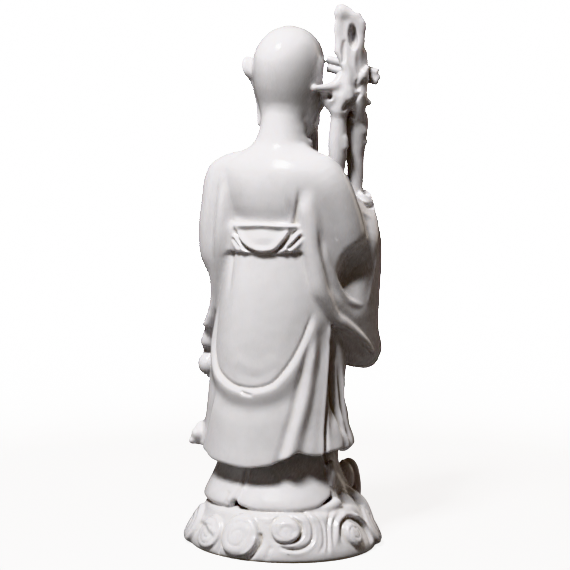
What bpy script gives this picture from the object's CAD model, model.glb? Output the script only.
import math

import bpy
import numpy as np
import openvdb as vdb
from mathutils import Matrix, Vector


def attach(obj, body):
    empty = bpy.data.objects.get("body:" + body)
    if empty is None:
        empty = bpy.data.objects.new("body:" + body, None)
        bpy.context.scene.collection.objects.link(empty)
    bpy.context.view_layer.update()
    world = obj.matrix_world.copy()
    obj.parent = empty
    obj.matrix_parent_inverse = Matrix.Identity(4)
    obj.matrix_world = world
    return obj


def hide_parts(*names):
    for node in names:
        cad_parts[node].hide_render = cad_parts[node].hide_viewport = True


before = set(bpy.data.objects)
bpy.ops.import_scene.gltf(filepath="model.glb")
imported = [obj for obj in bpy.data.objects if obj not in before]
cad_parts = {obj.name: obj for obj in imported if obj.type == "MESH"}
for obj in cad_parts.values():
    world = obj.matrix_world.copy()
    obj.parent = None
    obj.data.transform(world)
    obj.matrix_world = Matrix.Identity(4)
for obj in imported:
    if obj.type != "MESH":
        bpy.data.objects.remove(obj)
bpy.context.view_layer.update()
print("frame loaded")

# The block of clay
clayBlock = {
    "low": (-64.0, -56.0, -2.1),
    "high": (65.0, 57.5, 333.0),
    "step": 0.7,         # mm between samples
    "quickStep": 1.2,
    "standing": 28.0,    # floor to where the feet stand
    "far": 20.0,         # distance that the empty block starts with
    "triangles": 190000,
}
step = clayBlock["step"]
standing = clayBlock["standing"]
ticks = [np.arange(a, b, step, dtype=np.float32) for a, b in zip(clayBlock["low"], clayBlock["high"])]
clay = np.full([len(t) for t in ticks], clayBlock["far"], np.float32)


def windowOf(low, high, room=9.0):
    # the part of the block round a form, and the places of its samples
    spans = []
    for t, a, b in zip(ticks, low, high):
        first = min(int(np.searchsorted(t, a - room)), len(t) - 2)
        spans.append(slice(first, max(int(np.searchsorted(t, b + room)), first + 2)))
    x, y, z = (t[s] for t, s in zip(ticks, spans))
    return tuple(spans), x[:, None, None], y[None, :, None], z[None, None, :]


def softMin(a, b, soft):
    blend = np.maximum(soft - np.abs(a - b), 0) / soft
    return np.minimum(a, b) - blend * blend * (soft / 4)


def add(form, soft=1.5):
    # lays a form into the clay; soft is how far the two melt together, in mm
    place, distance = form
    clay[place] = softMin(clay[place], distance, soft)


def cut(form, soft=1.0):
    # takes a form out of the clay
    place, distance = form
    clay[place] = -softMin(-clay[place], distance, soft)


def smoothLine(points, pieces=6):
    # a curve through the points, with their further values carried along
    p = np.array(points, float)
    p = np.vstack([2 * p[0] - p[1], p, 2 * p[-1] - p[-2]])
    t = np.linspace(0, 1, pieces, endpoint=False)[:, None]
    parts = []
    for a, b, c, d in zip(p[:-3], p[1:-2], p[2:-1], p[3:]):
        parts.append(b + (c - a) * t / 2 + (a - 2.5 * b + 2 * c - d / 2) * t ** 2
                     + (1.5 * (b - c) + (d - a) / 2) * t ** 3)
    return np.vstack(parts + [p[-2:-1]])


def tube(stations, flat=None, pieces=5, room=8.0):
    # a round bar through stations (x, y, h, radius); flat = (direction, share) squeezes it
    line = smoothLine(stations, pieces)
    line[:, 2] += standing
    line[:, 3] = np.maximum(line[:, 3], 0.3)
    reach = line[:, 3].max()
    place, x, y, z = windowOf(line[:, :3].min(0) - reach, line[:, :3].max(0) + reach, room)
    nearest = None
    for a, b in zip(line[:-1].astype(np.float32), line[1:].astype(np.float32)):
        way = b[:3] - a[:3]
        share = ((x - a[0]) * way[0] + (y - a[1]) * way[1] + (z - a[2]) * way[2]) / (way @ way)
        share = np.clip(share, 0, 1)
        gx, gy, gz = x - a[0] - share * way[0], y - a[1] - share * way[1], z - a[2] - share * way[2]
        square = gx * gx + gy * gy + gz * gz
        if flat:
            across = gx * flat[0][0] + gy * flat[0][1] + gz * flat[0][2]
            square = square + across * across * (1 / flat[1] ** 2 - 1)
        distance = np.sqrt(square) - (a[3] + (b[3] - a[3]) * share)
        nearest = distance if nearest is None else np.minimum(nearest, distance)
    return place, nearest


def egg(centre, radii, turn=(0, 0, 0), room=8.0):
    # an ellipsoid, turned by degrees about X, then Y, then Z
    cx, cy, cz = centre[0], centre[1], centre[2] + standing
    most = max(radii)
    place, x, y, z = windowOf((cx - most, cy - most, cz - most), (cx + most, cy + most, cz + most), room)
    cosines, sines = np.cos(np.radians(turn)), np.sin(np.radians(turn))
    aboutX = np.array([[1, 0, 0], [0, cosines[0], -sines[0]], [0, sines[0], cosines[0]]])
    aboutY = np.array([[cosines[1], 0, sines[1]], [0, 1, 0], [-sines[1], 0, cosines[1]]])
    aboutZ = np.array([[cosines[2], -sines[2], 0], [sines[2], cosines[2], 0], [0, 0, 1]])
    back = (aboutZ @ aboutY @ aboutX).T
    scaled, steep = 0, 0
    for row, radius in zip(back, radii):
        along = (x - cx) * row[0] + (y - cy) * row[1] + (z - cz) * row[2]
        scaled = scaled + (along / radius) ** 2
        steep = steep + (along / radius ** 2) ** 2
    scaled = np.sqrt(scaled)
    return place, (scaled * (scaled - 1) / np.sqrt(steep + 1e-9)).astype(np.float32)


def levelCurve(levels, h):
    # the levels' values at heights h, on smooth curves; a level is (h, x, y, half width, half depth, turn)
    rows = np.array([tuple(level) + (0,) * (6 - len(level)) for level in levels], float)
    slope = np.zeros_like(rows)
    slope[1:-1] = (rows[2:] - rows[:-2]) / (rows[2:, :1] - rows[:-2, :1])
    slope[0] = (rows[1] - rows[0]) / (rows[1, 0] - rows[0, 0])
    slope[-1] = (rows[-1] - rows[-2]) / (rows[-1, 0] - rows[-2, 0])
    h = np.clip(h, rows[0, 0], rows[-1, 0])
    i = np.clip(np.searchsorted(rows[:, 0], h) - 1, 0, len(rows) - 2)
    span = (rows[i + 1, 0] - rows[i, 0])[:, None]
    t = ((h - rows[i, 0]) / span[:, 0])[:, None]
    value = (rows[i] * (1 + 2 * t) * (1 - t) ** 2 + rows[i + 1] * t * t * (3 - 2 * t)
             + span * (slope[i] * t * (1 - t) ** 2 - slope[i + 1] * t * t * (1 - t)))
    return value[:, 1:].T.astype(np.float32)


mapAngles = 720  # columns round a wall's map of relief


def mapOf(strokes, h, perDegree):
    # how far the strokes lift a wall, over angle and height. A stroke is a line of (angle, h), its ridges
    # (offset to its left, lift, width left, width right, sharpness) and the shares that taper at its ends.
    table = np.zeros((mapAngles, len(h)), np.float32)
    for line, ridges, *taper in strokes:
        line = smoothLine(np.array(line, float) * (perDegree, 1), 5)
        ridges = [tuple(r) + (2,) * (5 - len(r)) for r in ridges]
        reach = max(abs(r[0]) + 3 * max(r[2], r[3]) * (1.6 if r[4] < 2 else 1) for r in ridges)
        degree = mapAngles / 360
        columns = np.arange(math.floor((line[:, 0].min() - reach) / perDegree * degree),
                            math.ceil((line[:, 0].max() + reach) / perDegree * degree) + 1)
        columns = columns[:mapAngles]
        rows = np.nonzero((h > line[:, 1].min() - reach) & (h < line[:, 1].max() + reach))[0]
        if not len(rows):
            continue
        u, v = (columns / degree * perDegree)[:, None], h[rows][None, :]
        best = np.full((len(columns), len(rows)), 1e9)
        side, share = np.zeros_like(best), np.zeros_like(best)
        for n, (a, b) in enumerate(zip(line[:-1], line[1:])):
            way = b - a
            t = np.clip(((u - a[0]) * way[0] + (v - a[1]) * way[1]) / max(way @ way, 1e-9), 0, 1)
            gu, gv = u - a[0] - t * way[0], v - a[1] - t * way[1]
            square = gu * gu + gv * gv
            closer = square < best
            best = np.where(closer, square, best)
            side = np.where(closer, np.sign(way[0] * gv - way[1] * gu), side)
            share = np.where(closer, (n + t) / (len(line) - 1), share)
        out = np.sqrt(best) * side
        start, end = taper[0] if taper else (0.15, 0.15)
        fade = np.clip(share / max(start, 1e-3), 0, 1) * np.clip((1 - share) / max(end, 1e-3), 0, 1)
        fade = fade * fade * (3 - 2 * fade)
        lift = 0
        for offset, height, left, right, sharp in ridges:
            past = np.abs(out - offset) / np.where(out > offset, left, right)
            lift = lift + height * np.exp(-past ** sharp)
        table[np.ix_(columns % mapAngles, rows)] += lift * fade
    return table


def roundEdge(points):
    # a height for every column of a map, through points (angle, h) that go once round
    p = sorted(points)
    p = [(a - 360, b) for a, b in p[-3:]] + p + [(a + 360, b) for a, b in p[:3]]
    fine = smoothLine(p, 8)
    return np.interp(np.arange(mapAngles) * 360 / mapAngles, fine[:, 0], fine[:, 1]).astype(np.float32)


def lookUp(table, angle):
    # a map's value at each sample's angle
    spot = angle * (mapAngles / 360)
    low = spot.astype(np.int32) % mapAngles
    share = (spot - np.floor(spot)).astype(np.float32)
    high = (low + 1) % mapAngles
    if table.ndim == 1:
        return table[low] * (1 - share) + table[high] * share
    k = np.arange(table.shape[1])[None, None, :]
    return table[low, k] * (1 - share) + table[high, k] * share


def tower(levels, relief=None, edge=None, cave=(3.5, 6.0), soft=2.0, room=9.0):
    # a form of level outlines; relief(h) gives its map, edge the lower rim by angle,
    # cave = (thickness of the rim, how far the underside is hollowed)
    bottom, top = levels[0][0], levels[-1][0]
    most = max(max(level[3], level[4]) for level in levels)
    xs, ys = [level[1] for level in levels], [level[2] for level in levels]
    place, x, y, z = windowOf((min(xs) - most, min(ys) - most, bottom + standing),
                              (max(xs) + most, max(ys) + most, top + standing), room)
    h = z[0, 0] - standing
    cx, cy, wide, deep, turn = levelCurve(levels, h)
    c, s = np.cos(np.radians(turn)), np.sin(np.radians(turn))
    a = ((x - cx) * c + (y - cy) * s) / wide
    b = ((y - cy) * c - (x - cx) * s) / deep
    out = np.sqrt(a * a + b * b) + 1e-6
    wall = (out - 1) * out / np.sqrt((a / wide) ** 2 + (b / deep) ** 2 + 1e-9)
    angle = None
    if relief is not None or edge is not None:
        angle = np.degrees(np.arctan2(b, a)) % 360
    if relief is not None:
        wall = wall - lookUp(relief(h), angle)
    slope = np.gradient(wall, step, axis=2)
    wall = wall / np.sqrt(1 + slope * slope)
    roof = np.broadcast_to(h - top, wall.shape)
    if edge is None:
        foot = bottom - h
    else:
        inward = np.clip(-wall - cave[0], 0, cave[1])
        foot = (lookUp(edge, angle) + inward - h) * 0.85
    form = -softMin(-wall, -np.broadcast_to(foot, wall.shape), soft)
    return place, (-softMin(-form, -roof, soft)).astype(np.float32)


def wornTower(piece, cave, soft):
    # a piece of dress from its levels, its strokes and its lower edge
    return tower(piece["levels"], relief=lambda h: mapOf(piece["strokes"], h, piece["perDegree"]),
                 edge=roundEdge(piece["edge"]), cave=cave, soft=soft)


# The cloud base: a low round hill with rolled cloud curls all round it
base = {
    "halfWidth": 59.5,
    "halfDepth": 52,
    "height": 28,
    # share of the height, share of the width and depth
    "wall": [(0, 0.985), (0.07, 1), (0.2, 0.99), (0.36, 0.95), (0.55, 0.9), (0.75, 0.85), (0.93, 0.79),
             (1.04, 0.66)],
    "perDegree": 0.973,   # mm round the wall for a degree
    "sunk": 6,            # how far the wall runs on below, before the foot is ground flat
    # curls: angle, height, radius, winding, width of a band, share of height to width, swell, lift of a band
    "curls": [
        (27, 11, 14, 1, 4.6, 0.95, 3.2, 1.5), (58.5, 12.5, 11, 1, 3.9, 0.9, 2.4, 0.9),
        (84, 14.6, 12.8, -1, 4.8, 0.95, 3.9, 0.65), (114.5, 19, 9.8, -1, 4.3, 0.78, 3.2, 0.9),
        (163.6, 14, 7.2, 1, 3.2, 1, 3.6, 1.7), (202, 12.5, 14.5, -1, 4.6, 0.95, 3.4, 1.5),
        (244, 14, 14, 1, 4.6, 0.95, 3.4, 1.5), (290, 14, 14, -1, 4.6, 0.95, 3.4, 1.5),
        (338, 13.5, 14.5, 1, 4.8, 0.95, 3.4, 1.5),
    ],
    "strokes": [
        # rings round the small oval curl
        ([(104, 21), (108, 24.8), (117.3, 25.8), (124.6, 22.4), (125.8, 18.6), (123.5, 15), (118, 12.8),
          (111.5, 12.4), (106.5, 14)], [(0, -1.7, 0.9, 0.8, 1.5), (-2.2, 0.8, 1.4, 2.4),
                                        (2, 0.9, 1.2, 2.4)], (0.15, 0.2)),
        ([(125, 29.5), (131, 26.5), (133.5, 19.7), (131, 12.2), (122.5, 8.2), (113.5, 9), (108, 11)],
         [(0, -1.8, 0.9, 0.8, 1.5), (-2.2, 0.9, 1.4, 2.4), (1.8, 0.7, 1.2, 2.4)], (0.1, 0.25)),
        ([(133, 30.5), (139, 25.5), (141, 19.6), (139, 10.5), (133, 4.5)],
         [(0, -1.2, 0.8, 0.8, 1.5), (-2, 0.7, 1.4, 2), (1.6, 0.5, 1, 2)], (0.1, 0.3)),
        # the arms of cloud that fall from the far curl's roll
        ([(139.5, 3), (143, 13), (145.5, 20), (151, 26), (160, 29)],
         [(0, -1.5, 0.8, 0.8, 1.5), (-1.9, 0.8, 1.3, 1.8)], (0.2, 0.15)),
        ([(144, 6), (147.5, 15), (150, 20.4), (155.5, 24.6), (166, 26.2)],
         [(0, -1.2, 0.8, 0.8, 1.5), (-2, 0.7, 1.4, 1.8)], (0.2, 0.15)),
        ([(152.5, 8), (154, 15), (157.5, 20.2), (166, 22.2), (175, 19.6), (182, 15), (184, 9)],
         [(0, -2.3, 1.2, 1.2, 1.6), (2.8, 1.5, 1.8, 3.2)], (0.2, 0.2)),
        ([(38, 17), (45, 16.5), (54, 17.5), (62, 14.5), (68, 12.5)],
         [(0, 0.8, 1.8, 1.6), (-2.4, -0.5, 1.5, 1.4)]),
        ([(97, 17), (99, 12), (96, 6), (91, 0)], [(0, -2.6, 0.9, 0.9, 1.4), (-3, 0.8, 2, 2)]),
        ([(70, 0), (71, 6), (73, 10)], [(0, -1.5, 1.2, 1.2, 1.5)]),
        ([(103, 1), (104, 7), (106, 10)], [(0, -0.8, 1.2, 1.2, 1.5)]),
        ([(172, 24), (180, 20), (185, 11), (182, 2)], [(0, 1.7, 1.5, 2), (-2.6, -1.1, 1.2, 1.2)]),
    ],
    # clouds that rise before his feet: centre, radii, turn
    "clouds": [((-26, -35.5, 3.5), (5, 7, 15.5), 20), ((-14, -43, -3.5), (9, 7, 8), 0),
               ((24, -39.5, -4.5), (11, 7, 7), -20), ((-30, -29, 9), (6, 6, 10), 30)],
    "rolls": [
        [(-33, -38, -8, 3), (-35, -36, 2, 3), (-32, -38, 14, 3), (-26, -42, 16, 2.6), (-22, -43, 9, 2)],
        [(-41, -28, -12, 4), (-39, -26, -4, 4), (-37, -22, 1, 3.4)],
        [(-38, -9.5, 7, 3), (-42.8, -13.3, 2.4, 3.2), (-47.3, -15.4, -2, 3), (-50.1, -16.7, -7.6, 2.7),
         (-52, -17.8, -12.4, 2)],
        [(-27.4, 25.6, -0.8, 3), (-33.2, 20.4, -1, 3.4), (-37.8, 14.8, -0.2, 3.8), (-40, 9, 1.6, 3.8)],
        [(-36.4, 9.4, 14, 2.2), (-36.8, 8.4, 20.5, 3), (-36.4, 8, 26, 2.2)],
        [(-39, -2.5, 5, 2.6), (-42.5, -4.6, 0.6, 3), (-45.3, -6.3, -4.2, 2.9), (-48.9, -9, -9.4, 2.6),
         (-52, -12.1, -13.6, 2)],
    ],
}


def baseRelief(z):
    table = np.zeros((mapAngles, len(z)), np.float32)
    angles = (np.arange(mapAngles) * 360 / mapAngles)[:, None]
    for middle, height, radius, winding, band, squash, swell, lift in base["curls"]:
        u = ((angles - middle + 180) % 360 - 180) * base["perDegree"]
        v = (z[None, :] - height) / squash
        away = np.hypot(u, v)
        turn = np.arctan2(v, u) / (2 * math.pi)
        spot = away / band - winding * turn
        inBand = spot - np.floor(spot)
        ridge = np.sqrt(np.clip(1 - (2 * inBand - 1) ** 4, 0, 1)) - 0.35
        ridge = np.where(away < band * 0.55, 0.65, ridge)
        dome = np.sqrt(np.clip(1 - (away / radius) ** 2, 0, 1))
        edge = np.clip((radius - away) / 1.2, 0, 1)
        edge = edge * edge * (3 - 2 * edge)
        height = edge * (0.35 * swell + 0.65 * swell * dome + lift * ridge * (0.35 + 0.65 * dome))
        table = np.maximum(table, height.astype(np.float32))
    grown = np.clip(0.25 + z / 3.5, 0, 1)
    return (table + mapOf(base["strokes"], z, base["perDegree"])) * grown


def cloudBase():
    levels = [(share * base["height"] - standing, 0, 0, base["halfWidth"] * out, base["halfDepth"] * out)
              for share, out in base["wall"]]
    levels = [(levels[0][0] - base["sunk"],) + levels[0][1:]] + levels
    add(tower(levels, relief=lambda h: baseRelief(h + standing), soft=3), 1)
    for centre, radii, turn in base["clouds"]:
        add(egg(centre, radii, (0, 0, turn)), 2)
    for line in base["rolls"]:
        add(tube(line), 1.4)


cloudBase()
print("base modelled")

# The robes
underRobe = {
    "perDegree": 0.72,
    "levels": [(-6, 3, 1, 45.5, 37), (-2, 3, 1, 46.4, 37.9), (1.5, 3, 1, 47.2, 38.5), (5, 3, 1, 46.2, 37.2),
               (10, 3, 1, 43.8, 34), (15, 3, 1, 41.4, 31), (22, 3, 1, 38.6, 28.8), (44, 3, 1, 34, 26)],
    "edge": [(0, -1), (33.6, -0.7), (60, -1.4), (70, -0.8), (73, 3.6), (78, 3.4), (81, 1.8), (88.8, 0),
             (96.4, -1.1), (108.8, -1.2), (123.3, -0.9), (133.4, 0), (143.1, 1.2), (150.6, 3.6), (158.5, 6),
             (163, 8), (168, 1), (175, -3), (200, -1), (230, -1), (270, 1), (310, -1), (340, 0)],
    "strokes": [
        ([(73.5, 2), (76, 6), (79, 15), (79.5, 30)],
         [(0, -0.9, 1, 1, 1.5), (-3, 0.9, 2.2, 3), (3, 0.5, 2, 3)], (0.02, 0.3)),
        ([(64, -2), (65, 4), (68, 9)], [(0, -0.5, 1.6, 1.6)]),
        ([(300, -4), (297, 30)], [(0, 2, 5, 5)]),
        ([(240, -4), (244, 30)], [(0, 2, 5, 5)]),
        ([(270, -4), (270, 30)], [(0, -2, 4, 4)]),
        # the trailing cloth at his right, with a fold that hangs in a loop
        ([(178, -6), (178, 6), (177, 30)], [(0, -4.5, 8.5, 8)], (0, 0.5)),
        ([(172.5, 2), (169, 11), (165, 18), (161, 26), (159, 34)],
         [(0, 1.3, 0.8, 1.6), (-2.4, -0.9, 1.2, 2)], (0.1, 0.1)),
        ([(162.5, 27), (165.5, 21), (170.5, 17.6), (176, 19), (178.5, 24)],
         [(0, 1.2, 0.9, 0.9), (1.8, -1, 1.2, 1.6)], (0.1, 0.2)),
        ([(330, -4), (332, 30)], [(0, 1.8, 6, 6)]),
        ([(205, -4), (208, 30)], [(0, 1.8, 5, 5)]),
    ],
}
robe = {
    "perDegree": 0.68,
    # the hem's small lobe at his left
    "corner": [((50, 13, 38), (4.6, 8.2, 5.6), (10, 0, -6)),
               ((52.8, 17.2, 34.6), (2.6, 4.2, 2.6), (0, 0, 0)),
               ((50.6, 10.5, 42.4), (3.2, 5, 3.4), (0, 0, 0))],
    "slitFold": [(-38, 7.4, 48, 1.5), (-39.2, 5, 43, 3.6), (-40, 1.6, 38.8, 5), (-40.2, -0.8, 37.2, 5)],
    "slitFlat": ((0.63, 0.77, 0), 0.28),   # squeezed in this direction to this share
    "slit": [(-40.6, 21.6, 24, 3.4), (-39.6, 21.2, 34, 3.4), (-38.9, 19.2, 45.1, 3.6),
             (-38.5, 17.2, 56.3, 4.2), (-38.6, 14.8, 67.5, 4.8), (-38.6, 12.3, 79.3, 5.2),
             (-38.7, 9.8, 92.9, 5.4), (-38.4, 7.6, 103.6, 5.4)],
    "levels": [(15, 3, 1, 49.6, 40.4), (25, 3, 1, 49.2, 40), (31, 3, 1, 48.4, 39.2), (38, 3, 1, 47.4, 38.2),
               (50, 3.3, 1, 45.5, 37), (72, 3.2, 1, 43.6, 35.5), (100, 2.8, 1, 41.4, 33.5),
               (130, 1.5, 1, 37.5, 30.5), (150, 1, 1, 34, 27), (160, 0.5, 1, 33, 25.5),
               (175, 0, 1.5, 35, 25.5), (192, 1, 2, 38, 26), (203, 1.5, 3, 37, 23.5),
               (209, 1.8, 3.5, 32.5, 20), (214, 1.5, 3, 23.5, 17), (219, 0.8, 1.5, 17.4, 15.2),
               (225, 0.3, -0.2, 14.5, 14), (229, 0, -1, 13.3, 12.8)],
    "edge": [(0, 35.5), (14, 31.5), (25, 31.6), (38, 30.4), (50, 27.2), (70, 26), (87, 25.4), (106, 28.2),
             (115, 31.5), (122, 34.6), (127, 35.7), (135, 34.2), (143, 33.4), (150, 34.2), (160, 35.2),
             (190, 35.7), (215, 32), (245, 28), (270, 30), (295, 28), (325, 33)],
    "strokes": [
        # the back's wide swag: a sharp crease, the roll under it and a soft valley
        ([(38, 125), (38.9, 110), (40.5, 96.2), (45, 88.5), (52.5, 81.9), (66.5, 76.4), (79, 74), (93, 74),
          (106, 77), (114.9, 83.1), (124.1, 92), (132.6, 102.4), (139, 112), (145, 122)],
         [(0, -1.3, 1.1, 0.55, 1.4), (-3.4, 1.4, 1.9, 6.5), (-12.5, -1.1, 6, 7), (5, -0.3, 5, 5)],
         (0.16, 0.1)),
        ([(79, 72.4), (85, 70.4), (94, 70.2)], [(0, -1.5, 0.8, 0.8, 1.4)], (0.3, 0.4)),
        ([(76, 98), (88, 92), (98, 92), (110, 98)], [(0, -0.3, 4.5, 4), (-6, 0.15, 4, 4)]),
        ([(74, 88), (86, 82), (98, 82), (112, 90)], [(0, -0.25, 4, 4), (-6, 0.15, 4, 4)]),
        # pleats under his right sleeve
        ([(115, 20), (119, 33), (126, 49), (132, 63), (138, 80), (142.5, 93), (148, 108)],
         [(0, 2.3, 2.6, 4.2), (4.4, -1.2, 2.2, 2.2), (-6.5, -0.7, 3, 3)], (0.01, 0.2)),
        ([(149.6, 20), (150.5, 35), (155, 56), (161, 80), (166, 98), (169, 114)],
         [(0, -4.2, 1, 1, 1.8), (2.4, 0.9, 1.6, 1.6)], (0.01, 0.1)),
        ([(154, 38), (158.5, 58), (163.5, 80), (168, 98), (171, 112)], [(-3.6, -2.6, 3, 4)], (0.3, 0.1)),
        # the panel beyond the slit: it flares to a corner at the hem
        ([(165, 12), (164, 30), (164, 44)], [(0, 2.6, 7, 7)], (0.01, 0.75)),
        ([(174, 22), (174.5, 38), (172, 60), (172, 84), (175, 98)],
         [(0, -3, 1.5, 1.5), (-2.6, 1.1, 1.1, 1.2)], (0.05, 0.2)),
        ([(182, 20), (182, 38), (180, 60), (180, 88)], [(0, -2.4, 1.4, 1.4), (-2.8, 1.3, 1.2, 1.6)],
         (0.05, 0.2)),
        ([(196, 20), (194, 42), (196, 70)], [(0, 2, 5, 5)], (0.01, 0.3)),
        ([(200, 40), (200, 56), (200, 74)], [(0, -1.6, 9, 9)], (0.3, 0.3)),
        ([(198, 76), (198, 88), (198, 106)], [(0, 1.2, 6, 8)], (0.3, 0.3)),
        ([(170, 50), (170, 64), (171, 84), (173, 106)], [(0, -3.2, 5, 6)], (0.3, 0.1)),
        # the flare at his left
        ([(16, 15), (15, 36), (13, 52)], [(0, 5.5, 7, 6)], (0, 0.6)),
        ([(27, 22), (31, 36), (40, 55), (46, 76)], [(0, -1.3, 3, 2.5), (-5, 0.9, 3, 3)], (0.01, 0.4)),
        ([(2, 22), (2, 40), (6, 62)], [(0, -1.8, 3, 3)], (0, 0.4)),
        ([(350, 22), (350, 42), (352, 70)], [(0, 2.2, 4, 4)], (0.01, 0.4)),
        # his back above the sash, drawn in towards the arms
        ([(114, 192), (117.5, 184), (121, 176), (122, 168)], [(0, -1.1, 2.4, 2)], (0.6, 0.01)),
        ([(127, 196), (126.5, 186), (124.5, 176), (124, 166)], [(0, -1.9, 1.9, 1.5)], (0.5, 0.01)),
        ([(44, 176), (70, 174), (95, 174), (122, 175)], [(0, -1.1, 5, 2.5)], (0.2, 0.1)),
        ([(42, 192), (41, 182), (42, 170), (50, 145), (57, 120)], [(0, -1.2, 2.6, 2.6)], (0.35, 0.3)),
        # the front
        ([(228, 106), (250, 90), (272, 85), (295, 91), (318, 108)],
         [(0, -1.3, 1.5, 0.9, 1.4), (-3.4, 2.2, 2.4, 4.5), (-11, -1.2, 5, 5)]),
        ([(232, 130), (252, 116), (272, 112), (292, 117), (312, 132)],
         [(0, -1.2, 1.5, 0.9, 1.4), (-3.4, 2, 2.4, 4.5), (-11, -1, 5, 5)]),
        ([(245, 20), (246, 40), (251, 80)], [(0, 3, 3, 4.5), (5, -1.4, 2.4, 2.4)], (0.01, 0.3)),
        ([(293, 20), (292, 40), (288, 80)], [(0, 3, 4.5, 3), (-5, -1.4, 2.4, 2.4)], (0.01, 0.3)),
        ([(221, 20), (222, 40), (227, 72)], [(0, 2.6, 3, 4)], (0.01, 0.3)),
        ([(328, 20), (327, 50), (324, 92)], [(0, 3, 4, 4), (-6, -1.2, 3, 3)], (0.01, 0.3)),
        ([(270, 20), (270, 40), (271, 66)], [(0, -2, 3.5, 3.5)], (0.01, 0.3)),
    ],
}

add(wornTower(underRobe, (4, 3), 3), 1)
add(wornTower(robe, (3.5, 9), 2.2), 1.2)
for lump in robe["corner"]:
    add(egg(*lump), 1.8)
add(tube(robe["slitFold"]), 3)
cut(tube(robe["slit"], flat=robe["slitFlat"]), 0.8)
print("robes modelled")

# The sash, with a half-moon of cloth that hangs over it at the back
sash = {
    "perDegree": 0.56,
    "levels": [(150, 1, 1, 33.5, 26.5), (153, 1, 1, 35.2, 28.2), (160, 0.5, 1, 35.6, 28.2),
               (168, 0.5, 1, 36, 27.6), (172, 0, 1, 35.4, 26.6)],
    "edge": [(0, 154), (59.4, 154.3), (95, 153.6), (131.3, 155.8), (180, 156), (270, 152)],
    "strokes": [
        ([(50, 170), (74.5, 171), (90, 171.8), (108.8, 171.2), (127, 171)],
         [(0, 1, 1.5, 1.3), (-3.2, -1.3, 1.5, 3.5)], (0.1, 0.1)),
        ([(56, 169), (62, 164.6), (70.5, 160), (81.3, 156.6), (94, 155.4), (105.2, 157.2), (113, 163),
          (120, 169)], [(0.9, 1.6, 2, 1), (-1, -2, 0.8, 1.2)], (0.06, 0.06)),
        ([(54.4, 166.7), (65, 161), (76.5, 155.4)], [(0, -1.4, 1, 1), (-2.2, 0.9, 1.3, 1.3)]),
        ([(53, 162.8), (60, 159.5), (67.4, 156.4)], [(0, -1.2, 0.9, 0.9), (-2, 0.7, 1.2, 1.2)]),
        ([(128, 170), (118, 163), (109, 156.5)], [(0, -1.8, 1.1, 1.1), (2.2, 1.4, 1.3, 1.3)]),
        ([(131, 166), (124, 161.5), (116, 157)], [(0, -1.9, 1.2, 1.2), (2.4, 1, 1.3, 1.3)]),
        ([(200, 164), (240, 162), (300, 162), (340, 164)], [(0, -1, 1, 1)]),
        ([(215, 158), (245, 157), (295, 157), (330, 159)], [(0, -0.9, 1, 1)]),
    ],
    "knot": [((1, -31, 160.5), (6.5, 5, 6), (0, 0, 0)), ((-8, -30, 162), (6, 4, 4), (0, 20, 10)),
             ((9, -30, 162), (6, 4, 4), (0, -20, -10))],
    "ends": [
        [(-1, -31.5, 158, 3.5), (-3, -35.5, 130, 5), (-5, -39, 96, 5.8), (-6, -41, 74, 6.5)],
        [(3, -31.5, 158, 3.5), (5.5, -35.5, 132, 5), (8, -39, 104, 5.8), (9, -40.5, 86, 6.2)],
    ],
}
add(wornTower(sash, (30, 1), 1.6), 0.8)
for centre, radii, turn in sash["knot"]:
    add(egg(centre, radii, turn), 1.2)
for line in sash["ends"]:
    add(tube(line, flat=((0, 1, 0), 0.36)), 1)
    add(tube([(x + 0.4, y - 2.4, h - 2, 0.8) for x, y, h, r in line]), 1.2)
print("sash tied")

# The collar, crossed on the chest
collar = {
    "his left over": [(-11, 6, 222, 0.4), (-13.4, 1, 221.4, 1.4), (-14.4, -4, 219.6, 2.2),
                      (-13.5, -9, 217, 2.8),
                      (-5, -23, 197, 3.1), (6, -27, 174, 2.6)],
    "his right": [(11, 6, 222, 0.4), (13.4, 1, 221.4, 1.4), (14.4, -4, 219.6, 2.2), (13.5, -9, 217, 2.8),
          (6, -22, 200, 3), (-1, -25, 187, 2.6)],
}
for line in collar.values():
    add(tube(line), 2.2)

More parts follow.
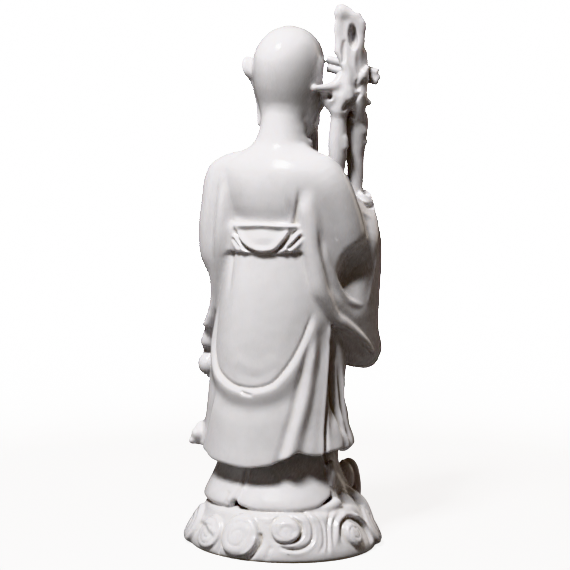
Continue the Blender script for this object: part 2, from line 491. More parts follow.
# His left arm hangs in its sleeve, and the hand holds a peach
leftArm = {
    "perDegree": 0.22,
    "sleeve": [(103.5, 50.6, -4.5, 6, 10), (106, 49.6, -4.2, 5.6, 10), (111, 47.4, -3.5, 5.2, 10),
               (117, 45.2, -2.8, 5, 10), (123, 43.4, -2, 5, 10.2), (130, 42.2, -0.5, 5.4, 10.6),
               (137, 41.6, 1.2, 6.4, 11.2), (150, 42.3, 4.5, 10.2, 12), (167, 41.8, 5, 11.5, 13),
               (185, 38.8, 4, 12.7, 14), (198, 35.8, 3.5, 14, 13.5), (207, 31.5, 3.5, 13.4, 12),
               (214, 22.5, 3, 10.5, 9.5)],
    "strokes": [
        ([(100, 196), (110, 180), (118, 160), (125, 140)], [(0, -0.5, 2.5, 2.5)]),
        ([(300, 165), (280, 150), (262, 132)], [(0, -1.3, 1.6, 1.6), (3, 1, 2, 2)]),
        ([(330, 176), (310, 160), (290, 140), (280, 120)], [(0, -1.3, 1.6, 1.6), (3, 1, 2, 2)]),
        ([(20, 160), (5, 146)], [(0, -1, 1.8, 1.8)]),
    ],
    "backFold": [(29.5, 15.5, 196, 3), (29.8, 17.6, 186, 4.6), (30.6, 17.8, 172, 5.6),
                 (31.8, 16.6, 158, 5.9), (34, 13.4, 145, 5.2), (37.4, 8.4, 132, 4.2), (41.5, 2.6, 120, 3.4)],
    "hand": [(49.6, -3.9, 107, 4.2), (51.2, -4.4, 100.2, 4.7), (53, -5, 93.5, 5.6), (53.6, -6.5, 88.5, 4.8)],
    "palm": ((51.5, -10.5, 96), (4.6, 6.5, 8)),
    "fist": ((54, -7.5, 79), (7.4, 8.4, 7.8)),
    "wristGroove": ((54.6, 0.4, 88.4), (8, 6.4, 3)),
    # the upper finger, and how far each next one is moved
    "finger": [(57, -9.5, 82.5, 2.4), (55.4, -15.5, 82, 2.35), (50.5, -18.2, 81.5, 2.1),
               (46.5, -17.5, 81.3, 1.7)],
    "fingerStep": [(-0.7, 0, -3.7, 0), (-0.7, 0, -3.7, 0), (-0.6, 0, -3.6, 0), (-0.6, 0, -3.6, 0)],
    "thumb": [(52, -5, 84, 2.8), (47, -8, 87.5, 2.5), (43.5, -11, 89, 2)],
    "peach": ((45, -17.5, 82), (9.5, 9.5, 9.5)),
    "peachTip": [(45, -18.5, 88, 5), (44.5, -19.5, 93, 2.6), (44, -20, 96, 0.8)],
    "peachSeam": [(45, -27.8, 80, 0.6), (45, -27.4, 86, 0.7), (44.6, -22.6, 93.5, 0.5)],
    "leaves": [((51.5, -21.5, 87), (2, 4, 7.6), (30, 10, 0)),
               ((38.5, -22.5, 87), (2, 4, 7.6), (30, -20, 0))],
}


def fingers(hand, soft):
    for n in range(4):
        add(tube(np.array(hand["finger"]) + n * np.array(hand["fingerStep"])), soft)


add(tower(leftArm["sleeve"], relief=lambda h: mapOf(leftArm["strokes"], h, leftArm["perDegree"]),
          soft=3), 3)
add(tube(leftArm["backFold"]), 5)
add(tube(leftArm["hand"]), 0.8)
add(egg(*leftArm["palm"]), 2)
add(egg(*leftArm["fist"]), 1.5)
cut(egg(*leftArm["wristGroove"]), 1.4)
fingers(leftArm, 0.7)
add(tube(leftArm["thumb"]), 0.8)
add(egg(*leftArm["peach"]), 0.6)
add(tube(leftArm["peachTip"]), 2.5)
cut(tube(leftArm["peachSeam"]), 1)
for leaf in leftArm["leaves"]:
    add(egg(*leaf), 0.6)

# His right arm is raised from the elbow, with the wide sleeve hanging from it like a bag
rightArm = {
    "upper": [(-17, 3, 203, 9), (-25, 3.5, 200.5, 11.5), (-32, 3, 193, 13.2), (-37.5, -1, 177, 13),
              (-41, -6, 160, 12), (-42.5, -11, 150, 9)],
    "folded": [(-41, -12, 142, 8.5), (-43.5, -19, 156, 11), (-43.6, -25, 168, 9), (-41.6, -30.5, 178, 6.4)],
    "bag": [(80.5, -40.5, -28.5, 4, 9, -22), (83, -40.8, -28, 5.8, 12.5, -22),
            (87, -41.5, -27.5, 7, 15.2, -22), (92, -42.5, -25.5, 7.5, 16.4, -22),
            (106, -42, -18, 7.5, 18, -23), (125, -39, -10.5, 9.6, 26.5, -23),
            (150, -38.2, -8, 9.8, 30.2, -24), (166, -37.4, -7.5, 9, 30.4, -22),
            (180, -35.3, -4.5, 7.8, 26, -20), (194, -30, 2, 6, 15, -15)],
    # grooves that sag from the elbow
    "grooves": [[(-34.4, 20.2, 172, 1), (-34.8, 18, 160, 1.8), (-36.4, 15.8, 149.2, 2.2),
                 (-38.9, 11.4, 136.6, 2.2), (-43, 5.6, 124.6, 1.2)],
                [(-38.2, 15.6, 158, 1.2), (-38.3, 11.9, 146.4, 2.2), (-41.9, 6.1, 134.9, 2.5),
                 (-45.9, -1.4, 127.4, 2.2), (-50, -7.3, 125.5, 1)]],
    # the roll of cloth down the sleeve's back edge, to a thin ridge at its tip
    "backRoll": [(-25, 13.6, 197, 2.4), (-25.4, 15.6, 190.5, 4.5), (-25.4, 17.6, 181, 5.7),
                 (-26.9, 17.4, 170.7, 5.9), (-27.6, 16.8, 157.8, 5.9), (-29.2, 16.1, 148.2, 5.9),
                 (-31.2, 15.4, 134.5, 5.7), (-32.9, 13.1, 128.2, 5.4), (-35.1, 8.7, 120.2, 4.9),
                 (-37.2, 5.2, 115.2, 4.3), (-39.8, 1.4, 112, 3.7), (-43, -4.5, 108, 2.9),
                 (-47.9, -14.3, 99.9, 1.7), (-50.4, -24.5, 90.6, 1.1)],
    "sagRidge": [(-31.5, 13.6, 168, 0.5), (-34.8, 13.2, 156, 1.6), (-36.6, 10.4, 146, 2.1),
                 (-38.8, 5.6, 134.9, 2.2), (-41.6, -0.6, 126.6, 2), (-45, -6.6, 122.6, 1.7),
                 (-47.2, -10.6, 121.4, 0.8)],
    "frontRidge": [(-52.6, -20.3, 158, 0.8), (-53.2, -20.5, 149, 1), (-52.4, -19.1, 141.1, 1),
                   (-51.6, -17.6, 135.1, 1), (-50.6, -16, 126.3, 0.8), (-48.6, -15.6, 117.4, 0.3)],
    # the cloth caves in under the elbow
    "elbowHollows": [(((-50.4, -1.6, 145.5), (17, 11.5, 9), (0, -50, 205)), 7),
                     (((-53, -1.4, 127), (8.6, 8.4, 15), (0, -24, 205)), 6)],
    # the sleeve's mouth, under the thin ridge of its back edge
    "mouth": [(-42, 4, 106, 2), (-45.4, -3, 99.5, 5), (-50, -9.4, 93.6, 6.6), (-53, -17.4, 90.2, 6),
              (-55.4, -25, 88.8, 2.4)],
    "mouthLip": [(-35.2, -19.4, 85.6, 1), (-38.8, -22.2, 82.8, 1.2), (-43, -26.2, 81, 1.3),
                 (-46.4, -31.8, 81.6, 1.3), (-47.6, -38, 84.2, 1)],
    "mouthRidge": [(-40.5, 0.5, 112.8, 2.4), (-43.8, -6, 107.6, 1.9), (-48, -14, 100.2, 1.5),
                   (-50.4, -23, 91.6, 1.1)],
    "cuff": [(-41.4, -32.4, 174, 7.1), (-40.6, -32.6, 180, 6.5), (-39.7, -32.4, 185, 6)],
    "cuffFolds": [[(-45.6, -13.1, 178, 0.5), (-47.3, -18.5, 175.3, 1), (-49.1, -24, 171.3, 1),
                   (-50.4, -27.1, 167.4, 0.4)],
                  [(-45.8, -9.5, 173.4, 0.4), (-47.8, -14.2, 170.1, 0.9), (-49.9, -18.7, 165.6, 0.3)]],
    "cuffMouth": [(-42.2, -31.6, 188, 3.2), (-44.6, -31, 198, 5)],
    "cuffGroove": [(-39, -22.5, 181.5, 2), (-44.4, -24.4, 180, 2.4), (-47.6, -30.3, 180, 2)],
    "forearm": [(-39, -30.8, 176, 4.9), (-34.9, -31.2, 187, 5.2), (-35.1, -31.6, 200, 5.4),
                (-35.2, -31.3, 211, 5.6), (-36.4, -30.8, 219, 6), (-36.5, -30, 226, 6)],
}
add(tube(rightArm["upper"], room=14), 9)
add(tower(rightArm["bag"], soft=3), 3)
add(tube(rightArm["folded"]), 3)
for hollow, soft in rightArm["elbowHollows"]:
    cut(egg(*hollow), soft)
add(tube(rightArm["backRoll"]), 2.4)
for line in rightArm["grooves"]:
    cut(tube(line), 1.6)
add(tube(rightArm["sagRidge"]), 2)
add(tube(rightArm["frontRidge"]), 1.6)
cut(tube(rightArm["mouth"]), 2)
add(tube(rightArm["mouthRidge"]), 1.6)
add(tube(rightArm["mouthLip"]), 1.2)
add(tube(rightArm["cuff"]), 1.5)
cut(tube(rightArm["cuffMouth"]), 0.8)
cut(tube(rightArm["cuffGroove"]), 1.6)
for line in rightArm["cuffFolds"]:
    add(tube(line), 1.8)
add(tube(rightArm["forearm"]), 0.8)
print("arms modelled")

# His right hand, gripping the staff
rightHand = {
    "palm": ((-36.8, -28.8, 230), (7.6, 5.2, 12.5), (0, -4, 22)),
    "grip": ((-30.5, -26.3, 227), (5, 3.6, 10.5)),
    "finger": [(-41, -31, 219.5, 2.5), (-35, -33, 221, 2.4), (-28.6, -29, 222, 2.3),
               (-23.8, -21.8, 222, 1.9)],
    "fingerStep": [(0.2, 0, 4.3, 0), (0, 0, 4.3, 0), (0, 0, 4.3, 0), (0, 0, 4.3, 0)],
    "thumb": [(-41.2, -28.5, 226, 2.6), (-39, -26.2, 231, 2.4), (-35.8, -23.6, 234.5, 1.9)],
}
add(egg(*rightHand["palm"]), 2)
add(egg(*rightHand["grip"]), 2)
print("hands modelled")

# The head
head = {
    "skull": [(218, 0, -16.5, 6, 7), (220, 0, -16, 8, 9), (226, 0, -14.5, 12.5, 14.5),
              (234, 0, -12, 16.2, 19.5), (244, 0, -10.5, 18.8, 22.5), (254, 0, -9, 20.4, 24.5),
              (264, 0, -8.5, 21, 25.5), (273, 0, -9, 20.2, 25), (281, -0.5, -9.5, 16.6, 21),
              (287, -0.5, -10, 10.8, 14), (290.4, -0.5, -10, 3.5, 5)],
    "neck": [(0, 1, 212, 14.5), (0, 0, 224, 14), (0, -3, 240, 13.5)],
    "ears": [
        {"shell": (22.2, 0, 265), "bowl": (24.6, -1.2, 264.5), "tall": 7, "turn": (0, 14, -28),
         "lobe": [(21.6, -1, 260, 2.7), (19.8, -2, 255, 2), (18.6, -4, 247, 1.9), (17.6, -5, 239, 2),
          (17, -6, 231, 2.8)]},
        {"shell": (-18.9, -11, 261.5), "bowl": (-22.6, -14.5, 261.5), "tall": 8.8, "turn": (0, -8, 4),
         "lobe": [(-19.4, -12.5, 255, 2.2), (-18.4, -14, 247, 2.2), (-16.9, -14.4, 239, 2.3),
          (-16.4, -13.6, 231.5, 2.8)]},
    ],
    "beard": [(160, 0, -32, 1.6, 1.6), (168, 0, -32, 4.5, 3.5), (182, 0, -30.5, 7.5, 6.5),
              (198, 0, -28.5, 10, 8.5), (212, 0, -27, 11.5, 9.5), (224, 0, -25, 12.5, 9),
              (236, 0, -24, 11, 8)],
    "forehead": ((-0.5, -20, 269.5), (16, 15.8, 16)),
    # one half of the face, which the other half mirrors
    "cheek": ((9, -25.5, 243), (7.5, 7, 7.5)),
    "brow": [(3.5, -33.4, 256.5, 1.4), (9, -31.6, 258.6, 1.7), (14.5, -26, 254.5, 1.2)],
    "eyeHollow": ((7.6, -33.4, 251.6), (4.6, 3, 3)),
    "eyeball": ((7.6, -30.6, 251.2), (3.9, 2.8, 2.6)),
    "eyeSlit": [(4.2, -33, 250.8, 0.35), (7.6, -33.9, 250, 0.45), (11.2, -31.6, 250.6, 0.35)],
    "nostril": ((2.6, -33.8, 243.8), (1.9, 2.3, 1.8)),
    "moustache": [(1.2, -34.2, 239.2, 1.6), (7, -32.6, 236.4, 2.1), (10, -29.5, 227.5, 1.2)],
    "moustacheEnd": [(3.5, -34.2, 237.6, 0.9), (8.4, -32.6, 233.4, 1.2), (9.6, -31, 222, 0.8)],
    "nose": [(0, -32, 256, 1.7), (0, -34.2, 249.5, 2.2), (0, -35.6, 244.6, 2.6)],
    "upperLip": ((0, -31.4, 240.4), (4.4, 3.2, 3.4)),
    "lowerLip": ((0, -33.2, 234.6), (3, 2, 1.1)),
}
add(tower(head["skull"], soft=2), 2)
add(egg(*head["forehead"]), 5)
add(tube(head["neck"]), 2.5)


def beardRelief(h):
    angles = np.radians(np.arange(mapAngles) * 360 / mapAngles)[:, None]
    wave = angles * 17 + 1.4 * np.sin(h[None, :] / 9 + angles * 3)
    return (0.9 * (np.abs(np.sin(wave)) - 0.6) * np.clip((238 - h[None, :]) / 8, 0, 1)).astype(np.float32)


add(tower(head["beard"], relief=beardRelief, soft=1.5), 1.5)


def sideTube(stations, side):
    return tube([(side * x, y, h, radius) for x, y, h, radius in stations])


def sideEgg(form, side):
    (x, y, h), radii = form
    return egg((side * x, y, h), radii)


for side in (-1, 1):
    add(sideEgg(head["cheek"], side), 4)
    add(sideTube(head["brow"], side), 2)
    cut(sideEgg(head["eyeHollow"], side), 2.5)
    add(sideEgg(head["eyeball"], side), 0.8)
    cut(sideTube(head["eyeSlit"], side), 0.5)
    add(sideEgg(head["nostril"], side), 1)
    add(sideTube(head["moustache"], side), 0.8)
    add(sideTube(head["moustacheEnd"], side), 0.6)
for ear in head["ears"]:
    add(egg(ear["shell"], (3.2, 5.4, ear["tall"]), ear["turn"]), 2.6)
    cut(egg(ear["bowl"], (1.9, 2.8, ear["tall"] * 0.62), ear["turn"]), 1)
    add(tube(ear["lobe"]), 1.8)
add(tube(head["nose"]), 1.5)
add(egg(*head["upperLip"]), 1)
add(egg(*head["lowerLip"]), 0.8)
print("head modelled")

# The staff: a knotted root, broad and lobed at the top, with a double scroll tied to it
staff = {
    "trunk": [(-14, -42, -8, 5.5), (-14.5, -41.5, 20, 5.2), (-16, -39.5, 60, 5.3), (-18, -36, 100, 5),
              (-21, -31, 140, 5.1), (-24, -25.2, 172, 4.9), (-26.3, -21.6, 190.1, 4.9),
              (-27.6, -19.5, 201.2, 5.2), (-28.6, -18.5, 211.7, 5.9), (-28.9, -17.8, 220.8, 6),
              (-29.4, -17.4, 227.9, 5.5), (-29.8, -17.2, 234, 5.2), (-30.8, -17.4, 240, 6),
              (-33, -18.4, 246, 7)],
    # the broad root above his hand, squeezed flat
    "slab": [(-35, -19.2, 247.5, 7), (-35.9, -19.6, 250.5, 9.2), (-37.2, -20.1, 254.6, 8.8),
             (-38.5, -20.7, 259, 7.3), (-38.8, -20.8, 263.5, 6.6), (-38.2, -20.6, 268, 6.9),
             (-37.2, -20.1, 272.5, 8), (-36.7, -19.9, 277.5, 8.5), (-36.3, -19.7, 284, 8.2),
             (-36.1, -19.6, 290, 7.6), (-34.4, -18.8, 295, 6), (-32.6, -17.9, 298.8, 3.7)],
    "slabFlat": ((-0.4226, 0.9063, 0), 0.56),
    # ridges that wander over the root, and its branches
    "strands": [
        [(-31.5, -14.6, 239, 3.4), (-33.6, -14.8, 246, 3.6), (-36.4, -15.6, 254, 3.6),
         (-36.4, -16, 262, 3.2), (-33.6, -15.6, 270, 3.2), (-31, -15.8, 278, 2.9), (-30.4, -16, 286, 2.9),
         (-31, -16, 293, 3.2), (-33.2, -16.4, 297.4, 3.2)],
        [(-33.4, -16.6, 297.2, 3), (-38, -19.4, 295, 3.4), (-41.4, -21.2, 291.4, 3.2),
         (-42.2, -21.4, 284, 2.8), (-41.2, -20, 277, 3.2), (-39.6, -18.6, 270, 2.8),
         (-39.8, -18.4, 262, 2.4), (-41, -18.2, 256, 2.2)],
        [(-43.7, -25, 274, 1.6), (-44, -25.2, 266, 2), (-44.2, -25.4, 258, 2), (-43.4, -24.8, 252.3, 2.2),
         (-43.6, -25.2, 246.2, 2.3), (-45.6, -27.2, 243.4, 2)],
        [(-41, -21, 248, 4.6), (-40.8, -23.2, 242, 4.4), (-39.4, -26.2, 236, 4.6)],
        [(-31.2, -15.4, 254, 4.4), (-27, -10.8, 252.8, 3.2), (-23.6, -5.8, 252.2, 2.3),
         (-20.8, -2, 252.2, 1.8)],
        [(-23, -8.6, 250.2, 1.7), (-23.2, -9.8, 245.7, 1.9), (-24.8, -11.6, 242.1, 2.3),
         (-27.8, -14.1, 239, 2.8)],
        [(-28.6, -13.4, 247.5, 3.8), (-26.4, -12.4, 245, 3.4)],
        [(-34.2, -16.6, 221.5, 1.8), (-34.6, -16.8, 217, 1.8)],
        [(-45.2, -20.8, 261.5, 2), (-45, -20.6, 259.5, 2)],
        # knobs along its edges
        [(-31.4, -15.8, 299.4, 3.4), (-30.4, -15.6, 297.4, 3.3)],
        [(-30.2, -16.2, 289, 2.6), (-30.3, -16.3, 286.6, 2.7)],
        [(-30.2, -16.4, 277, 2.4), (-30, -16.3, 274.4, 2.9)],
        [(-43, -21.8, 291, 2.4), (-43.2, -22, 288, 2.2)],
        [(-31.8, -16, 258.5, 3.6), (-31, -14.8, 256, 3.4)],
        [(-38, -14.6, 250.5, 2.2), (-38.8, -14.8, 246.6, 2)],
        [(-38, -20.6, 294.6, 2.8), (-39.9, -21.6, 295.2, 2.6)],
    ],
    "tie": [(-46.1, -22.9, 264.2, 1.5), (-44.3, -19.9, 260.1, 1.7), (-42.3, -18.9, 255.9, 1.7),
            (-40.3, -20.2, 252, 1.4)],
    # blind holes in the root: place, radii, turn
    "hollows": [
        ((-39.4, -16.2, 283), (2.8, 6.6, 7.6), (0, 4, 25)),
        ((-40.2, -20.5, 300.2), (2.4, 9, 2.2), (0, 30, 25)),
        ((-42.6, -16.9, 254.1), (1.5, 2.6, 3.6), (0, 0, 25)),
        ((-27.5, -9.6, 247.1), (1.5, 3.4, 1.8), (0, 0, 25)),
    ],
    "creases": [
        [(-43, -16.6, 274, 0.8), (-43.2, -17, 268, 1.6), (-43.6, -17.4, 262, 0.8)],
        [(-35.2, -13, 239.4, 0.9), (-37.2, -13.8, 241.6, 1.9), (-40, -15.6, 244.4, 2),
         (-43, -17.6, 248.4, 1)],
        [(-34.6, -13.6, 268, 0.7), (-34.2, -14, 275, 1.2), (-34.6, -14.6, 280, 0.7)],
    ],
    "scroll": ((-17.8, -26.8, 267.2), (-49.8, -32.2, 258.8), 2.75),
    "scrollEnd": [(-42, -30.9, 260.9, 2.2), (-49.2, -32.1, 258.9, 2.2)],
}
add(tube(staff["trunk"]), 1.5)
add(tube(staff["slab"], flat=staff["slabFlat"]), 3)
for line in staff["strands"]:
    add(tube(line), 2.4)
for centre, radii, turn in staff["hollows"]:
    cut(egg(centre, radii, turn), 1.2)
for line in staff["creases"]:
    cut(tube(line), 1.4)


def rod(start, end, radius, room=6):
    # a straight bar cut square at its ends
    start, end = np.array(start, np.float32), np.array(end, np.float32)
    start[2] += standing
    end[2] += standing
    place, x, y, z = windowOf(np.minimum(start, end) - radius, np.maximum(start, end) + radius, room)
    way = end - start
    size = math.sqrt(way @ way)
    way = way / size
    gx, gy, gz = x - start[0], y - start[1], z - start[2]
    along = gx * way[0] + gy * way[1] + gz * way[2]
    wall = np.sqrt(np.maximum(gx * gx + gy * gy + gz * gz - along * along, 0)) - radius
    return place, -softMin(-wall, -(np.abs(along - size / 2) - size / 2), 1)


for side in (-1, 1):
    start, end, radius = staff["scroll"]
    lift = side * radius * 0.97
    add(rod((start[0], start[1], start[2] + lift), (end[0], end[1], end[2] + lift), radius), 0.5)
add(tube(staff["scrollEnd"]), 1.2)
add(tube(staff["tie"]), 0.8)
# the fingers and the thumb close over the staff
fingers(rightHand, 0.6)
add(tube(rightHand["thumb"]), 1.2)
# the toes of his shoes
shoes = {"middle": 3, "apart": 22, "forward": -38, "radii": (7, 10, 6), "splay": 8}
for side in (-1, 1):
    place = (shoes["middle"] + side * shoes["apart"] / 2, shoes["forward"], 0)
    add(egg(place, shoes["radii"], (0, 0, side * shoes["splay"])), 0.8)
print("staff modelled")

# The underside is ground flat on the floor
clay[:] = np.maximum(clay, -ticks[2][None, None, :])


def skinOf(block):
    # the block's skin as one mesh in metres
    grid = vdb.FloatGrid()
    grid.copyFromArray(block, tolerance=0.0)
    points, triangles, quads = grid.convertToPolygons(isovalue=0.0, adaptivity=0.0)
    low = np.array(clayBlock["low"])
    points = (points * step + low) / 1000
    faces = [tuple(q[::-1]) for q in quads.tolist()] + [tuple(t[::-1]) for t in triangles.tolist()]
    mesh = bpy.data.meshes.new("porcelain_figure")
    mesh.from_pydata(points.tolist(), [], faces)
    mesh.update()
    return mesh


figure = bpy.data.objects.new("porcelain_figure", skinOf(clay))
bpy.context.scene.collection.objects.link(figure)
print("skin made:", len(figure.data.polygons), "faces")
thin = figure.modifiers.new("thin", "DECIMATE")
thin.ratio = min(1.0, clayBlock["triangles"] / (2 * len(figure.data.polygons)))
bpy.context.view_layer.update()
plain = bpy.data.meshes.new_from_object(figure.evaluated_get(bpy.context.evaluated_depsgraph_get()))
figure.modifiers.clear()
figure.data = plain
figure.data.name = "porcelain_figure"
figure.data.shade_smooth()
print("mesh kept:", len(figure.data.polygons), "faces")


def hollowsOf(block, reach=2.8):
    # how deep each sample lies in a hollow: the clay's mean distance round it, in mm
    half = max(1, round(reach / step))
    mean = block.copy()
    for axis in range(3):
        size = mean.shape[axis]
        total = np.cumsum(mean, axis=axis, dtype=np.float64)
        total = np.concatenate([np.zeros_like(np.take(total, [0], axis)), total], axis)
        high = np.clip(np.arange(size) + half + 1, 0, size)
        low = np.clip(np.arange(size) - half, 0, size)
        count = (high - low).reshape([-1 if n == axis else 1 for n in range(3)])
        mean = ((np.take(total, high, axis) - np.take(total, low, axis)) / count).astype(np.float32)
    return -mean


def sampled(block, places):
    # the block's values at places in mm, between its samples
    spots = (places - np.array(clayBlock["low"])) / step
    first = np.clip(np.floor(spots).astype(int), 0, np.array(block.shape) - 2)
    share = spots - first
    value = 0
    for corner in range(8):
        over = np.array([corner & 1, corner >> 1 & 1, corner >> 2])
        weight = np.prod(np.where(over, share, 1 - share), axis=1)
        value = value + weight * block[tuple((first + over).T)]
    return value


places = np.zeros(len(figure.data.vertices) * 3, np.float32)
figure.data.vertices.foreach_get("co", places)
hollow = sampled(hollowsOf(np.clip(clay, -6, 6)), places.reshape(-1, 3) * 1000)
figure.data.attributes.new("hollow", "FLOAT", "POINT").data.foreach_set("value", hollow.astype(np.float32))
print("hollows measured: %.2f to %.2f mm" % (hollow.min(), hollow.max()))

# The glaze
glazeLook = {
    "thin": (0.845, 0.832, 0.85, 1),        # over high places
    "pooled": (0.75, 0.72, 0.685, 1),       # gathered in the folds
    "dirt": (0.36, 0.285, 0.205, 1),        # settled deep in the hollows
    "cloud": (0.805, 0.792, 0.805, 1),      # faint clouds in the white
    "pits": (0.12, 0.085, 0.055, 1),        # pinholes that took dirt
    "biscuit": (0.62, 0.55, 0.46, 1),       # the bare foot
    "gloss": 0.13, "clouded gloss": 0.22, "biscuit roughness": 0.75,
    "pool depth": 1.5, "dirt depth": 2.8,   # mm of hollow where the pooled and the dirt colour are full
    "through": 0.12, "through reach": 0.004,
}


def groupOf(name, inputs, outputs):
    tree = bpy.data.node_groups.new(name, "ShaderNodeTree")
    for socket, kind, value in inputs:
        tree.interface.new_socket(socket, in_out="INPUT",
                                  socket_type="NodeSocket" + kind).default_value = value
    for socket, kind in outputs:
        tree.interface.new_socket(socket, in_out="OUTPUT", socket_type="NodeSocket" + kind)
    return tree, tree.nodes.new("NodeGroupInput").outputs, tree.nodes.new("NodeGroupOutput").inputs


def node(tree, kind, settings=(), **sockets):
    # a node of that kind, with its inputs set or linked by name
    made = tree.nodes.new("ShaderNode" + kind)
    for key, value in dict(settings).items():
        setattr(made, key, value)
    for key, value in sockets.items():
        spot = made.inputs[int(key[1:]) if key[1:].isdigit() else key.replace("_", " ")]
        if isinstance(value, bpy.types.NodeSocket):
            tree.links.new(value, spot)
        else:
            spot.default_value = value
    return made.outputs


def glazeClouds():
    # pooling in the folds, and faint clouding
    colours = [(name, "Color", (1, 1, 1, 1)) for name in ("Thin", "Pooled", "Dirt", "Cloud")]
    sizes = [("Cloud Scale", "Float", 40.0), ("Pool Depth", "Float", 1.0), ("Dirt Depth", "Float", 2.8)]
    tree, given, put = groupOf("glaze_clouds", colours + sizes,
                               [("Color", "Color"), ("Pool", "Float"), ("Clouding", "Float")])
    place = node(tree, "TexCoord")["Object"]
    depth = node(tree, "Attribute", {"attribute_name": "hollow"})["Fac"]
    wander = node(tree, "TexNoise", Vector=place, Scale=90.0, Detail=3.0)["Fac"]
    depth = node(tree, "Math", {"operation": "MULTIPLY_ADD"}, _0=wander, _1=0.5, _2=depth)["Value"]
    pool = node(tree, "MapRange", {"interpolation_type": "SMOOTHSTEP"}, Value=depth, From_Min=0.35,
                From_Max=given["Pool Depth"])["Result"]
    noise = node(tree, "TexNoise", Vector=place, Scale=given["Cloud Scale"], Detail=4.0,
                 Roughness=0.6)["Fac"]
    clouding = node(tree, "MapRange", {"interpolation_type": "SMOOTHSTEP"}, Value=noise, From_Min=0.42,
                    From_Max=0.72)["Result"]
    base = node(tree, "Mix", {"data_type": "RGBA"}, _0=clouding, _6=given["Thin"], _7=given["Cloud"])[2]
    pooled = node(tree, "Mix", {"data_type": "RGBA"}, _0=pool, _6=base, _7=given["Pooled"])[2]
    settled = node(tree, "MapRange", {"interpolation_type": "SMOOTHSTEP"}, Value=depth, From_Min=1.3,
                   From_Max=given["Dirt Depth"])["Result"]
    colour = node(tree, "Mix", {"data_type": "RGBA"}, _0=settled, _6=pooled, _7=given["Dirt"])[2]
    tree.links.new(colour, put["Color"])
    tree.links.new(pool, put["Pool"])
    tree.links.new(clouding, put["Clouding"])
    return tree


def glazeSkin():
    # slow ripples as on any thick glaze, and pinholes
    tree, given, put = groupOf("glaze_skin", [("Ripple Scale", "Float", 120.0), ("Pit Scale", "Float", 60.0),
                               ("Pit Size", "Float", 0.05)], [("Height", "Float"), ("Pits", "Float")])
    place = node(tree, "TexCoord")["Object"]
    slow = node(tree, "TexNoise", Vector=place, Scale=given["Ripple Scale"], Detail=1.5,
                Roughness=0.45)["Fac"]
    cells = node(tree, "TexVoronoi", Vector=place, Scale=given["Pit Scale"], Randomness=1.0)
    chance = node(tree, "SeparateColor", Color=cells["Color"])["Red"]
    rare = node(tree, "Math", {"operation": "GREATER_THAN"}, _0=chance, _1=0.93)["Value"]
    dot = node(tree, "MapRange", {"interpolation_type": "SMOOTHSTEP"}, Value=cells["Distance"],
               From_Min=given["Pit Size"], From_Max=0.0)["Result"]
    pits = node(tree, "Math", {"operation": "MULTIPLY"}, _0=rare, _1=dot)["Value"]
    tree.links.new(node(tree, "Math", {"operation": "SUBTRACT"}, _0=slow, _1=pits)["Value"], put["Height"])
    tree.links.new(pits, put["Pits"])
    return tree


def bareFoot():
    # where the foot was wiped clean of glaze
    tree, given, put = groupOf("bare_foot", [("Height", "Float", 0.0012), ("Ragged", "Float", 0.0008)],
                               [("Mask", "Float")])
    place = node(tree, "TexCoord")["Object"]
    wander = node(tree, "TexNoise", Vector=place, Scale=160.0, Detail=3.0)["Fac"]
    z = node(tree, "SeparateXYZ", Vector=place)["Z"]
    rim = node(tree, "Math", {"operation": "MULTIPLY_ADD"}, _0=wander, _1=given["Ragged"],
               _2=given["Height"])["Value"]
    away = node(tree, "Math", {"operation": "SUBTRACT"}, _0=rim, _1=z)["Value"]
    tree.links.new(node(tree, "MapRange", {"interpolation_type": "SMOOTHSTEP"}, Value=away, From_Min=0.0,
                        From_Max=0.0006)["Result"], put["Mask"])
    return tree


def whiteGlaze():
    material = bpy.data.materials.new("white_glaze")
    material.use_nodes = True
    tree = material.node_tree
    shader = tree.nodes["Principled BSDF"]
    clouds = tree.nodes.new("ShaderNodeGroup")
    clouds.node_tree = glazeClouds()
    for socket, key in (("Thin", "thin"), ("Pooled", "pooled"), ("Dirt", "dirt"), ("Cloud", "cloud")):
        clouds.inputs[socket].default_value = glazeLook[key]
    clouds.inputs["Pool Depth"].default_value = glazeLook["pool depth"]
    clouds.inputs["Dirt Depth"].default_value = glazeLook["dirt depth"]
    skin = tree.nodes.new("ShaderNodeGroup")
    skin.node_tree = glazeSkin()
    foot = tree.nodes.new("ShaderNodeGroup")
    foot.node_tree = bareFoot()
    pitted = node(tree, "Mix", {"data_type": "RGBA"}, _0=skin.outputs["Pits"], _6=clouds.outputs["Color"],
                  _7=glazeLook["pits"])[2]
    colour = node(tree, "Mix", {"data_type": "RGBA"}, _0=foot.outputs["Mask"], _6=pitted,
                  _7=glazeLook["biscuit"])[2]
    gloss = node(tree, "MapRange", Value=clouds.outputs["Clouding"], To_Min=glazeLook["gloss"],
                 To_Max=glazeLook["clouded gloss"])["Result"]
    rough = node(tree, "Mix", {"data_type": "FLOAT"}, _0=foot.outputs["Mask"], _2=gloss,
                 _3=glazeLook["biscuit roughness"])[0]
    bump = node(tree, "Bump", Strength=0.35, Distance=0.0006, Height=skin.outputs["Height"])["Normal"]
    tree.links.new(colour, shader.inputs["Base Color"])
    tree.links.new(rough, shader.inputs["Roughness"])
    tree.links.new(bump, shader.inputs["Normal"])
    shader.inputs["IOR"].default_value = 1.5
    shader.inputs["Subsurface Weight"].default_value = glazeLook["through"]
    shader.inputs["Subsurface Radius"].default_value = (1.0, 0.85, 0.7)
    shader.inputs["Subsurface Scale"].default_value = glazeLook["through reach"]
    return material


figure.data.materials.append(whiteGlaze())
print("glaze fired")

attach(figure, "root")
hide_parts("shou_lao_figure")

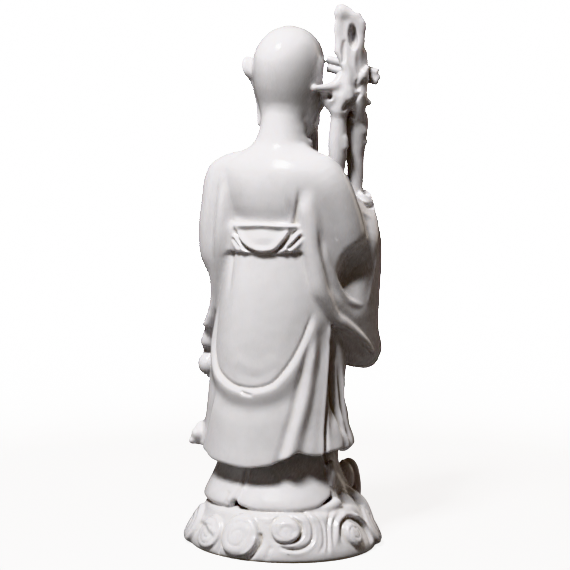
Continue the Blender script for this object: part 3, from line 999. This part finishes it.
# Floor, light and camera
floorLook = {
    "radius": 1.6, "whole": 0.30, "gone": 1.2,   # where it starts to fade and where it is gone
    "pale": (0.93, 0.93, 0.93, 1), "glow": 1.1,  # as the camera sees it
    "bounced": (0.15, 0.145, 0.14, 1),           # as the figure sees it
}


def floorDisc():
    # a round of pale paper that fades into the white backdrop
    corners = [(math.cos(math.radians(a)) * floorLook["radius"],
                math.sin(math.radians(a)) * floorLook["radius"], 0)
               for a in range(0, 360, 5)]
    mesh = bpy.data.meshes.new("floor")
    mesh.from_pydata(corners, [], [tuple(range(len(corners)))])
    material = bpy.data.materials.new("pale_floor")
    material.use_nodes = True
    tree = material.node_tree
    tree.nodes.remove(tree.nodes["Principled BSDF"])
    ray = node(tree, "LightPath")["Is Camera Ray"]
    away = node(tree, "VectorMath", {"operation": "LENGTH"}, _0=node(tree, "TexCoord")["Object"])["Value"]
    fade = node(tree, "MapRange", {"interpolation_type": "SMOOTHSTEP"}, Value=away,
                From_Min=floorLook["whole"], From_Max=floorLook["gone"])["Result"]
    paper = node(tree, "BsdfDiffuse", Color=floorLook["pale"])["BSDF"]
    glow = node(tree, "Emission", Strength=floorLook["glow"])["Emission"]
    seen = node(tree, "AddShader", _0=paper, _1=glow)["Shader"]
    seen = node(tree, "MixShader", _0=fade, _1=seen, _2=node(tree, "BsdfTransparent")["BSDF"])["Shader"]
    unseen = node(tree, "BsdfDiffuse", Color=floorLook["bounced"])["BSDF"]
    whole = node(tree, "MixShader", _0=ray, _1=unseen, _2=seen)["Shader"]
    tree.links.new(whole, tree.nodes["Material Output"].inputs["Surface"])
    mesh.materials.append(material)
    disc = bpy.data.objects.new("floor", mesh)
    bpy.context.scene.collection.objects.link(disc)
    return disc


floor = floorDisc()

studio = {
    "azimuth": 205.0, "distance": 1.08, "height": 0.29, "aim": (-0.0016, -0.0008, 0.1604), "lens": 112.2,
    # lamps: name, way to the camera's right, up and towards the camera, width, power, colour
    "lamps": [("key", (-0.27, 0.78, 0.55), 0.28, 28, (1, 1, 1)),
              ("left", (-0.95, 0.10, 0.28), 1.0, 1.4, (1, 1, 1)),
              ("rim", (0.84, 0.30, -0.44), 0.8, 2.6, (1, 0.88, 0.76))],
    "lampDistance": 1.5,
    "backdrop": ((1, 1, 1, 1), 40),               # what the camera sees: colour, strength
    "room": ((1.0, 0.80, 0.62, 1), 0.062),        # what lights the figure all round
}
turn = math.radians(studio["azimuth"])
cameraPlace = Vector((math.sin(turn) * studio["distance"], -math.cos(turn) * studio["distance"],
                      studio["height"]))
aim = Vector(studio["aim"])
camera = bpy.data.objects.new("camera", bpy.data.cameras.new("camera"))
camera.location = cameraPlace
camera.rotation_euler = (aim - cameraPlace).to_track_quat("-Z", "Y").to_euler()
camera.data.lens = studio["lens"]
camera.data.sensor_width = 36
bpy.context.scene.collection.objects.link(camera)
bpy.context.scene.camera = camera

forward = (aim - cameraPlace).normalized()
sideways = forward.cross(Vector((0, 0, 1))).normalized()
upward = sideways.cross(forward)
for name, direction, width, power, colour in studio["lamps"]:
    way = (sideways * direction[0] + upward * direction[1] - forward * direction[2]).normalized()
    lamp = bpy.data.lights.new(name, "AREA")
    lamp.shape = "SQUARE"
    lamp.size = width
    lamp.energy = power
    lamp.color = colour
    box = bpy.data.objects.new(name, lamp)
    box.location = aim + way * studio["lampDistance"]
    box.rotation_euler = (-way).to_track_quat("-Z", "Y").to_euler()
    bpy.context.scene.collection.objects.link(box)
bpy.context.scene.cycles.diffuse_bounces = 1

world = bpy.data.worlds.new("studio")
bpy.context.scene.world = world
world.use_nodes = True
nodes, links = world.node_tree.nodes, world.node_tree.links
nodes.clear()
output = nodes.new("ShaderNodeOutputWorld")
seen = nodes.new("ShaderNodeBackground")
dim = nodes.new("ShaderNodeBackground")
mix = nodes.new("ShaderNodeMixShader")
path = nodes.new("ShaderNodeLightPath")
for shader, (colour, strength) in ((seen, studio["backdrop"]), (dim, studio["room"])):
    shader.inputs["Color"].default_value = colour
    shader.inputs["Strength"].default_value = strength
links.new(path.outputs["Is Camera Ray"], mix.inputs["Fac"])
links.new(dim.outputs["Background"], mix.inputs[1])
links.new(seen.outputs["Background"], mix.inputs[2])
links.new(mix.outputs["Shader"], output.inputs["Surface"])
bpy.context.scene.view_settings.view_transform = "Khronos PBR Neutral"
print("studio lit")
